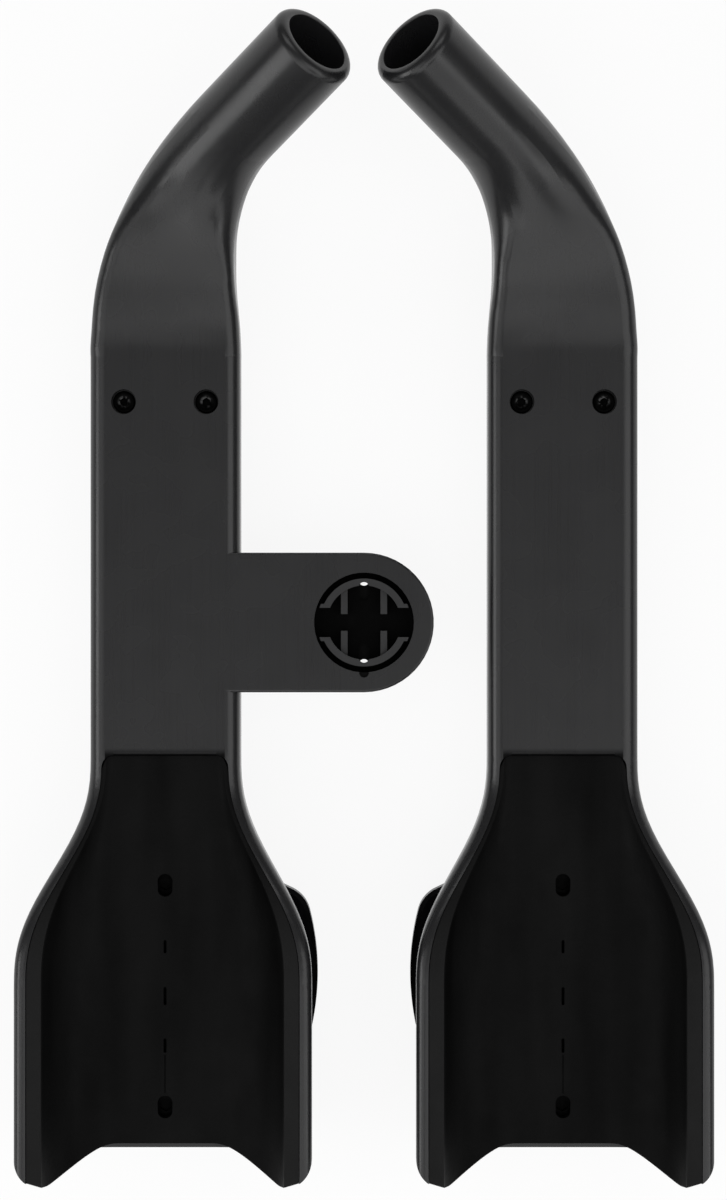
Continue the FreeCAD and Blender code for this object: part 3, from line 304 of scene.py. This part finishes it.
# The foam swells a little between its held edges and openings: cloth with pressure inside.
SWELL, SWELL_STEPS, PRESSURE, STIFFNESS = 0.8 * MM, 20, 4.0, 40
pad_source = new_piece("pad_source", pad_bm, foam)
rest = [vert.co.copy() for vert in pad_source.data.vertices]
held = [vert.index for vert in pad_source.data.vertices
        if not pad_source.data.attributes["loose"].data[vert.index].value]
pad_source.vertex_groups.new(name="held").add(held, 1.0, "REPLACE")
cloth = pad_source.modifiers.new("swell", "CLOTH")
cloth.settings.use_pressure = True
cloth.settings.uniform_pressure_force = PRESSURE
cloth.settings.effector_weights.gravity = 0
cloth.settings.vertex_group_mass = "held"
cloth.settings.tension_stiffness = STIFFNESS
scene = bpy.context.scene
for moment in range(1, SWELL_STEPS + 1):
    scene.frame_set(moment)
swollen = bpy.data.meshes.new_from_object(
    pad_source.evaluated_get(bpy.context.evaluated_depsgraph_get()))
pad_source.modifiers.clear()
for vert, moved, start in zip(pad_source.data.vertices, swollen.vertices, rest):
    shift = moved.co - start
    vert.co = start + shift * SWELL / (SWELL + shift.length)
scene.frame_set(1)

ROUND_STEPS = 24


def of_kind(geom, kind):
    """The verts, edges or faces among an operator's results."""
    return [item for item in geom if isinstance(item, kind)]


def oblong(bm, along, length, width, low, high):
    """Upright prism with round ends, its length along the arm, in millimetres."""
    ring = bmesh.ops.create_circle(bm, cap_ends=True, segments=ROUND_STEPS,
                                   radius=width / 2 * MM)["verts"]
    for vert in ring:
        end = math.copysign((length - width) / 2, vert.co.y)
        vert.co += Vector((0, along + end, low)) * MM
    raised = bmesh.ops.extrude_face_region(bm, geom=[ring[0].link_faces[0]])["geom"]
    bmesh.ops.translate(bm, verts=of_kind(raised, bmesh.types.BMVert),
                        vec=(0, 0, (high - low) * MM))


cutter_bm = bmesh.new()
cuts = [(along, OPENING_LENGTH, OPENING_WIDTH, CUT_LOW) for along in OPENINGS]
cuts += [(along, length, SLIT_WIDTH, SLIT_FLOOR) for along, length in SLITS]
cuts.append((SCORE, SCORE_LENGTH, SCORE_WIDTH, SCORE_FLOOR))
for along, length, width, low in cuts:
    oblong(cutter_bm, along, length, width, low, CUT_HIGH)
bmesh.ops.recalc_face_normals(cutter_bm, faces=cutter_bm.faces)
cutter = new_piece("pad_cutter", cutter_bm, foam)
fine = pad_source.modifiers.new("fine", "SUBSURF")
fine.levels = fine.render_levels = 1
holes = pad_source.modifiers.new("holes", "BOOLEAN")
holes.operation, holes.solver, holes.object = "DIFFERENCE", "EXACT", cutter
finished = bpy.data.meshes.new_from_object(
    pad_source.evaluated_get(bpy.context.evaluated_depsgraph_get()))
for spare in (pad_source, cutter):
    bpy.data.objects.remove(spare)
for side, name in ((-1, "left"), (1, "right")):
    pad_bm = bmesh.new()
    pad_bm.from_mesh(finished)
    mirrored = Matrix.Diagonal((-side, 1, 1, 1))
    bmesh.ops.transform(pad_bm, verts=pad_bm.verts,
                        matrix=Matrix.Translation((side * ARM_X * MM, 0, 0)) @ mirrored)
    if side > 0:
        bmesh.ops.reverse_faces(pad_bm, faces=pad_bm.faces)
    pad = new_piece(f"foam_pad_{name}", pad_bm, foam)
    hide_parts(f"armrest_pad_{name}")
    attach(pad, "root")

# Boss screws: cold-headed steel with a rounded head and a countersunk hexagon socket, sunk below
# the beam's top. They, the cup bolts, washers and insert screws have a black oxide finish, which
# the key has worn thin round the boss screws' sockets.
SCREW_ALONG, SCREW_APART, SCREW_SEAT, SCREW_END = 198.3, 27.5, 29.0, 20.0
HEAD_TOP, HEAD_RADIUS, HEAD_ROUNDING, SHANK_RADIUS = 31.8, 3.7, 0.5, 2.0
KEY_FLATS, KEY_FLOOR, KEY_EASE, KEY_TURN = 2.5, 30.3, 0.03, math.pi / 3
SINK_RADIUS, SINK_FLOOR = 2.2, 31.4
TURNS = 48

# Black oxide on steel: a thin dark coat with slight changes of tone, bare grey patches about 1 mm
# wide where it is worn, and fine marks left by heading.
steel, tree, place = new_material("black_oxide_steel", {"Metallic": 1.0})
wear_share = add(tree, "ShaderNodeAttribute", {}, attribute_name="wear")["Fac"]
patches = add(tree, "ShaderNodeTexNoise", {"Vector": place, "Scale": 1 / (1.1 * MM)})[0]
patches = add(tree, "ShaderNodeMapRange", {"Value": patches, "From Min": 0.42, "From Max": 0.6})[0]
worn = add(tree, "ShaderNodeMath", {0: wear_share, 1: patches}, operation="MULTIPLY")[0]
coat = add(tree, "ShaderNodeTexNoise", {"Vector": place, "Scale": 1 / (1.5 * MM)})[0]
tone = add(tree, "ShaderNodeMath", {0: coat, 1: 0.08, 2: worn}, operation="MULTIPLY_ADD")[0]
tone = add(tree, "ShaderNodeMapRange", {"Value": tone, "From Min": 0.03})[0]
colour = add(tree, "ShaderNodeMix", {0: tone, 6: linear("#060606"), 7: linear("#3c3c3c")},
             data_type="RGBA")[2]
polish = add(tree, "ShaderNodeTexNoise", {"Vector": place, "Scale": 1 / (3 * MM)})[0]
sheen = add(tree, "ShaderNodeMapRange", {
    "Value": polish, **NOISE_SPAN, "To Min": 0.26, "To Max": 0.38})[0]
upright = add(tree, "ShaderNodeMapping", {"Vector": place, "Scale": (1, 1, 1 / 6)})[0]
marks = add(tree, "ShaderNodeTexNoise", {"Vector": upright, "Scale": 1 / (0.4 * MM)})[0]
relief = add(tree, "ShaderNodeBump", {"Height": marks, "Distance": 0.006 * MM})[0]
drive(steel, {"Base Color": colour, "Roughness": sheen, "Normal": relief})
dress(steel, "cup_bolts_left", "cup_bolts_right", "cup_washers_left", "cup_washers_right",
      "computer_insert_screws")


def turned(bm, middle, outline, turns):
    """Skin of a turned shape, from its outline's radii and heights in millimetres, and the edges
    of its open ends."""
    verts = [bm.verts.new((middle + Vector((radius, 0, level))) * MM) for radius, level in outline]
    edges = [bm.edges.new(pair) for pair in zip(verts, verts[1:])]
    bmesh.ops.spin(bm, geom=verts + edges, cent=middle * MM, axis=(0, 0, 1), angle=2 * math.pi,
                   steps=turns, use_merge=True)
    return [edge for edge in bm.edges if edge.is_boundary]


screw_outline = [(SHANK_RADIUS, SCREW_END), (SHANK_RADIUS, SCREW_SEAT), (HEAD_RADIUS, SCREW_SEAT)]
for turn in (0, 22.5, 45, 67.5, 90):
    inwards = HEAD_ROUNDING * (1 - math.cos(math.radians(turn)))
    down = HEAD_ROUNDING * (1 - math.sin(math.radians(turn)))
    screw_outline.append((HEAD_RADIUS - inwards, HEAD_TOP - down))
screw_outline += [(SINK_RADIUS, HEAD_TOP), (KEY_FLATS / math.sqrt(3) + KEY_EASE, SINK_FLOOR)]
for side, name in ((-1, "left"), (1, "right")):
    screw_bm = bmesh.new()
    wear = screw_bm.verts.layers.float.new("wear")
    for inner in (-1, 1):
        middle = Vector((side * ARM_X + inner * SCREW_APART / 2, SCREW_ALONG, 0))
        open_edges = turned(screw_bm, middle, screw_outline, TURNS)
        sink_edges = [edge for edge in open_edges if edge.verts[0].co.z > SCREW_SEAT * MM]
        end_edges = [edge for edge in open_edges if edge.verts[0].co.z < SCREW_SEAT * MM]
        drawn = bmesh.ops.extrude_edge_only(screw_bm, edges=sink_edges)["geom"]
        for vert in of_kind(drawn, bmesh.types.BMVert):
            aside = vert.co.xy - middle.xy * MM
            from_flat = (math.atan2(aside.y, aside.x) + KEY_TURN / 2) % KEY_TURN - KEY_TURN / 2
            aside.length = KEY_FLATS / 2 * MM / math.cos(from_flat)
            vert.co.xy = middle.xy * MM + aside
        lowered = bmesh.ops.extrude_edge_only(
            screw_bm, edges=of_kind(drawn, bmesh.types.BMEdge))["geom"]
        bmesh.ops.translate(screw_bm, verts=of_kind(lowered, bmesh.types.BMVert),
                            vec=(0, 0, (KEY_FLOOR - SINK_FLOOR) * MM))
        bmesh.ops.edgeloop_fill(screw_bm, edges=of_kind(lowered, bmesh.types.BMEdge))
        bmesh.ops.edgeloop_fill(screw_bm, edges=end_edges)
    for vert in screw_bm.verts:
        vert[wear] = abs(vert.co.z - SINK_FLOOR * MM) < NEAR * MM
    bmesh.ops.recalc_face_normals(screw_bm, faces=screw_bm.faces)
    screws = new_piece(f"countersunk_screws_{name}", screw_bm, steel)
    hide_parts(f"boss_screws_{name}")
    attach(screws, "root")

# Threaded boss inserts: turned brass, moulded into the arm under each boss screw. The brass has
# dulled a little in patches, and the tool's fine rings show in its sheen.
brass, tree, place = new_material("turned_brass", {"Metallic": 1.0})
dulled = add(tree, "ShaderNodeTexNoise", {"Vector": place, "Scale": 1 / (2 * MM)})[0]
dulled = add(tree, "ShaderNodeMapRange", {"Value": dulled, **NOISE_SPAN})[0]
colour = add(tree, "ShaderNodeMix", {0: dulled, 6: linear("#a8874f"), 7: linear("#c5a668")},
             data_type="RGBA")[2]
level = add(tree, "ShaderNodeMapping", {"Vector": place, "Scale": (1 / 8, 1 / 8, 1)})[0]
rings = add(tree, "ShaderNodeTexNoise", {"Vector": level, "Scale": 1 / (0.3 * MM)})[0]
sheen = add(tree, "ShaderNodeMapRange", {
    "Value": rings, **NOISE_SPAN, "To Min": 0.25, "To Max": 0.42})[0]
drive(brass, {"Base Color": colour, "Roughness": sheen})
dress(brass, "boss_inserts_left", "boss_inserts_right")

# Computer mount insert: glass-filled nylon, moulded with the quarter-turn lips and spring ribs.
# Its floor keeps the mould's coarse spark-eroded texture and is duller, while lips and ribs are
# smooth; its colour darkens towards the floor of the pocket as painted shade.
FLOOR_LEVEL, RIB_LEVEL = 29.2, 31.3
nylon, tree, place = new_material("glass_filled_nylon", {"IOR": 1.53})
height = add(tree, "ShaderNodeSeparateXYZ", {"Vector": place})["Z"]
# Low in the pocket the share is 0: duller, and darker as painted shade in the recess.
smooth_and_unshaded = add(tree, "ShaderNodeMapRange", {
    "Value": height, "From Min": FLOOR_LEVEL * MM, "From Max": RIB_LEVEL * MM})[0]
mottled = add(tree, "ShaderNodeTexNoise", {"Vector": place, "Scale": 1 / (3 * MM)})[0]
tone = add(tree, "ShaderNodeMath", {0: mottled, 1: 0.15, 2: smooth_and_unshaded}, operation="MULTIPLY_ADD")[0]
tone = add(tree, "ShaderNodeMapRange", {"Value": tone, "From Min": 0.08})[0]
colour = add(tree, "ShaderNodeMix", {0: tone, 6: linear("#030303"), 7: linear("#1f1f20")},
             data_type="RGBA")[2]
gloss = add(tree, "ShaderNodeMapRange", {"Value": smooth_and_unshaded, "To Min": 0.04, "To Max": 0.34})[0]
sheen = add(tree, "ShaderNodeMapRange", {"Value": smooth_and_unshaded, "To Min": 0.85, "To Max": 0.42})[0]
pits = add(tree, "ShaderNodeTexNoise", {"Vector": place, "Scale": 1 / (0.5 * MM)})[0]
relief = add(tree, "ShaderNodeBump", {"Height": pits, "Distance": 0.02 * MM})[0]
drive(nylon, {"Base Color": colour, "Specular IOR Level": gloss, "Roughness": sheen,
              "Normal": relief})
dress(nylon, "computer_mount_insert")

# Riser feet: plate aluminium, milled and black anodised, clamped under each cradle by its cup
# bolts. The cutter's passes show as fine lines along the plate.
alloy, tree, place = new_material("black_anodised_aluminium", {"Metallic": 1.0})
tinted = add(tree, "ShaderNodeMapping", {"Vector": place, "Scale": (1, 1 / 60, 1)})[0]
tinted = add(tree, "ShaderNodeTexNoise", {"Vector": tinted, "Scale": 1 / (0.7 * MM)})[0]
tinted = add(tree, "ShaderNodeMapRange", {"Value": tinted, **NOISE_SPAN})[0]
colour = add(tree, "ShaderNodeMix", {0: tinted, 6: linear("#070708"), 7: linear("#0c0c0d")},
             data_type="RGBA")[2]
patches = add(tree, "ShaderNodeTexNoise", {"Vector": place, "Scale": 1 / (12 * MM)})[0]
sheen = add(tree, "ShaderNodeMapRange", {
    "Value": patches, **NOISE_SPAN, "To Min": 0.32, "To Max": 0.42})[0]
passes = add(tree, "ShaderNodeMapping", {"Vector": place, "Scale": (1, 1 / 80, 1)})[0]
passes = add(tree, "ShaderNodeTexNoise", {"Vector": passes, "Scale": 1 / (0.6 * MM)})[0]
relief = add(tree, "ShaderNodeBump", {"Height": passes, "Distance": 0.006 * MM})[0]
drive(alloy, {"Base Color": colour, "Roughness": sheen, "Normal": relief})
dress(alloy, "riser_foot_left", "riser_foot_right")

# Cable grommets: moulded rubber rings snapped into the port under each beam. The rubber is matt,
# with a faint bloom and the mould's fine texture.
rubber, tree, place = new_material("moulded_rubber", {"IOR": 1.5, "Specular IOR Level": 0.35})
bloom = add(tree, "ShaderNodeTexNoise", {"Vector": place, "Scale": 1 / (4 * MM)})[0]
bloom = add(tree, "ShaderNodeMapRange", {"Value": bloom, **NOISE_SPAN})[0]
colour = add(tree, "ShaderNodeMix", {0: bloom, 6: linear("#111112"), 7: linear("#19191a")},
             data_type="RGBA")[2]
patches = add(tree, "ShaderNodeTexNoise", {"Vector": place, "Scale": 1 / (2 * MM)})[0]
sheen = add(tree, "ShaderNodeMapRange", {
    "Value": patches, **NOISE_SPAN, "To Min": 0.6, "To Max": 0.75})[0]
texture = add(tree, "ShaderNodeTexNoise", {"Vector": place, "Scale": 1 / (0.6 * MM)})[0]
relief = add(tree, "ShaderNodeBump", {"Height": texture, "Distance": 0.02 * MM})[0]
drive(rubber, {"Base Color": colour, "Roughness": sheen, "Normal": relief})
dress(rubber, "cable_grommet_left", "cable_grommet_right")

# Hook strips: nylon tape with rows of mushroom hooks moulded on a thin web, stuck to the cradle's
# floor on both sides of the cup bolts. The pad's fleecy underside presses on to them.
STRIP_APART, STRIP_WIDTH, STRIP_LENGTH, STRIP_LOW, WEB = 18.0, 11.0, 56.0, 25.7, 0.4
HOOK_PITCH, HOOK_ROWS, HOOKS_IN_ROW, HOOK_SIDES = 1.6, 6, 34, 8
HOOK_OUTLINE = ((0.22, -0.1), (0.18, 0.35), (0.4, 0.42), (0.26, 0.6))

# Moulded nylon: black with a slight mottle, half matt, and faint draw lines across the tape.
tape, tree, place = new_material("moulded_nylon_tape", {"IOR": 1.53, "Specular IOR Level": 0.3})
mottled = add(tree, "ShaderNodeTexNoise", {"Vector": place, "Scale": 1 / (1.6 * MM)})[0]
mottled = add(tree, "ShaderNodeMapRange", {"Value": mottled, **NOISE_SPAN})[0]
colour = add(tree, "ShaderNodeMix", {0: mottled, 6: linear("#0c0c0d"), 7: linear("#161617")},
             data_type="RGBA")[2]
patches = add(tree, "ShaderNodeTexNoise", {"Vector": place, "Scale": 1 / (3 * MM)})[0]
sheen = add(tree, "ShaderNodeMapRange", {
    "Value": patches, **NOISE_SPAN, "To Min": 0.5, "To Max": 0.65})[0]
lines = add(tree, "ShaderNodeMapping", {"Vector": place, "Scale": (1 / 4, 1, 1)})[0]
lines = add(tree, "ShaderNodeTexNoise", {"Vector": lines, "Scale": 1 / (0.4 * MM)})[0]
relief = add(tree, "ShaderNodeBump", {"Height": lines, "Distance": 0.02 * MM})[0]
drive(tape, {"Base Color": colour, "Roughness": sheen, "Normal": relief})


def repeat(bm, copies, apart):
    """Copies all of a mesh in a row, each a step in millimetres from the last."""
    bmesh.ops.spin(bm, geom=bm.verts[:] + bm.edges[:] + bm.faces[:], angle=0, steps=copies,
                   dvec=Vector(apart) * MM, use_duplicate=True)


for side, name in ((-1, "left"), (1, "right")):
    strip_bm = bmesh.new()
    middle = Vector((side * ARM_X - STRIP_APART / 2, 0, STRIP_LOW + WEB))
    first = middle - Vector(((HOOK_ROWS - 1) / 2, (HOOKS_IN_ROW - 1) / 2, 0)) * HOOK_PITCH
    hook_ends = turned(strip_bm, first, HOOK_OUTLINE, HOOK_SIDES)
    bmesh.ops.edgeloop_fill(strip_bm, edges=hook_ends)
    repeat(strip_bm, HOOKS_IN_ROW - 1, (0, HOOK_PITCH, 0))
    repeat(strip_bm, HOOK_ROWS - 1, (HOOK_PITCH, 0, 0))
    web_size = Matrix.Diagonal((STRIP_WIDTH * MM, STRIP_LENGTH * MM, WEB * MM, 1))
    web_place = Matrix.Translation((middle - Vector((0, 0, WEB / 2))) * MM)
    bmesh.ops.create_cube(strip_bm, size=1.0, matrix=web_place @ web_size)
    repeat(strip_bm, 1, (STRIP_APART, 0, 0))
    bmesh.ops.recalc_face_normals(strip_bm, faces=strip_bm.faces)
    strips = new_piece(f"hook_tape_{name}", strip_bm, tape)
    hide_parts(f"pad_hook_strips_{name}")
    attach(strips, "root")

# Floor: a plain white sweep under the object, white to the camera and in reflections, which keeps
# a trace of the object's shadow.
FLOOR_HALF_SIZE, FLOOR_BELOW, WHITE_SHARE = 4.0, 0.5 * MM, 0.9
floor_bm = bmesh.new()
bmesh.ops.create_grid(floor_bm, x_segments=1, y_segments=1, size=FLOOR_HALF_SIZE)
bmesh.ops.translate(floor_bm, verts=floor_bm.verts, vec=(0, 0, -FLOOR_BELOW))
paper = bpy.data.materials.new("white_paper")
paper.use_nodes = True
tree = paper.node_tree
tree.nodes.clear()
sweep = add(tree, "ShaderNodeBsdfDiffuse", {"Color": linear("#f4f4f4")})[0]
glow = add(tree, "ShaderNodeEmission", {"Color": (1, 1, 1, 1), "Strength": 1.0})[0]
path = add(tree, "ShaderNodeLightPath", {})
seen = add(tree, "ShaderNodeMath", {0: path["Is Camera Ray"], 1: path["Is Glossy Ray"]},
           operation="MAXIMUM")[0]
seen = add(tree, "ShaderNodeMath", {0: seen, 1: path["Is Transmission Ray"]},
           operation="MAXIMUM")[0]
white = add(tree, "ShaderNodeMath", {0: seen, 1: WHITE_SHARE}, operation="MULTIPLY")[0]
both = add(tree, "ShaderNodeMixShader", {0: white, 1: sweep, 2: glow})[0]
add(tree, "ShaderNodeOutputMaterial", {"Surface": both})
floor = new_piece("floor", floor_bm, paper)
floor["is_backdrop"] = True

# Studio light: three soft boxes at the left, two at the right, one above the rear, a weak one
# overhead and one from the front that lights the floor, with a dim even surround.
AIM = Vector((0, 0.13, 0.03))
SURROUND = 0.2


def soft_box(name, towards, distance, width, height, radiance):
    """Area lamp at a distance in a direction from the object, facing it, of a given brightness."""
    lamp = bpy.data.lights.new(name, "AREA")
    lamp.shape, lamp.size, lamp.size_y = "RECTANGLE", width, height
    lamp.energy = radiance * math.pi * width * height
    holder = bpy.data.objects.new(name, lamp)
    holder.location = AIM + Vector(towards).normalized() * distance
    holder.rotation_euler = (AIM - holder.location).to_track_quat("-Z", "Y").to_euler()
    bpy.context.scene.collection.objects.link(holder)


soft_box("left_box", (-0.88, -0.17, 0.44), 1.6, 1.0, 0.68, 3.5)
soft_box("left_high_box", (-0.54, 0.0, 0.84), 1.8, 0.8, 1.0, 1.1)
soft_box("left_rear_box", (-0.45, -0.46, 0.766), 2.0, 1.3, 0.9, 1.5)
soft_box("right_box", (0.64, -0.056, 0.766), 1.7, 1.1, 1.38, 1.7)
soft_box("right_rear_box", (0.662, -0.596, 0.454), 1.8, 1.7, 0.75, 1.4)
soft_box("top_rear_box", (0.05, -0.54, 0.842), 2.2, 1.2, 2.3, 1.5)
soft_box("overhead_box", (0.0, 0.12, 1.0), 2.4, 0.8, 0.66, 0.36)
soft_box("front_box", (0.0, 0.8, 0.6), 1.9, 1.2, 0.7, 2.0)
world = bpy.data.worlds.new("surround")
world.use_nodes = True
world.node_tree.nodes["Background"].inputs["Color"].default_value = (1, 1, 1, 1)
world.node_tree.nodes["Background"].inputs["Strength"].default_value = SURROUND
bpy.context.scene.world = world
bpy.context.scene.view_settings.view_transform = "Standard"

# Camera: straight above the beams' top, a metre and a half away, with the grips at the top. Its
# focal length in pixels is for an image of 727 by 1200.
CAMERA_PLACE = Vector((-0.17, 132.2, 1534.0))
FOCAL_PIXELS, IMAGE_HEIGHT, SENSOR = 4500, 1200, 36.0
lens = bpy.data.cameras.new("camera")
lens.sensor_width = SENSOR
lens.lens = SENSOR * FOCAL_PIXELS / IMAGE_HEIGHT
camera = bpy.data.objects.new("camera", lens)
camera.location = CAMERA_PLACE * MM
bpy.context.scene.collection.objects.link(camera)
bpy.context.scene.camera = camera

low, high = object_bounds()
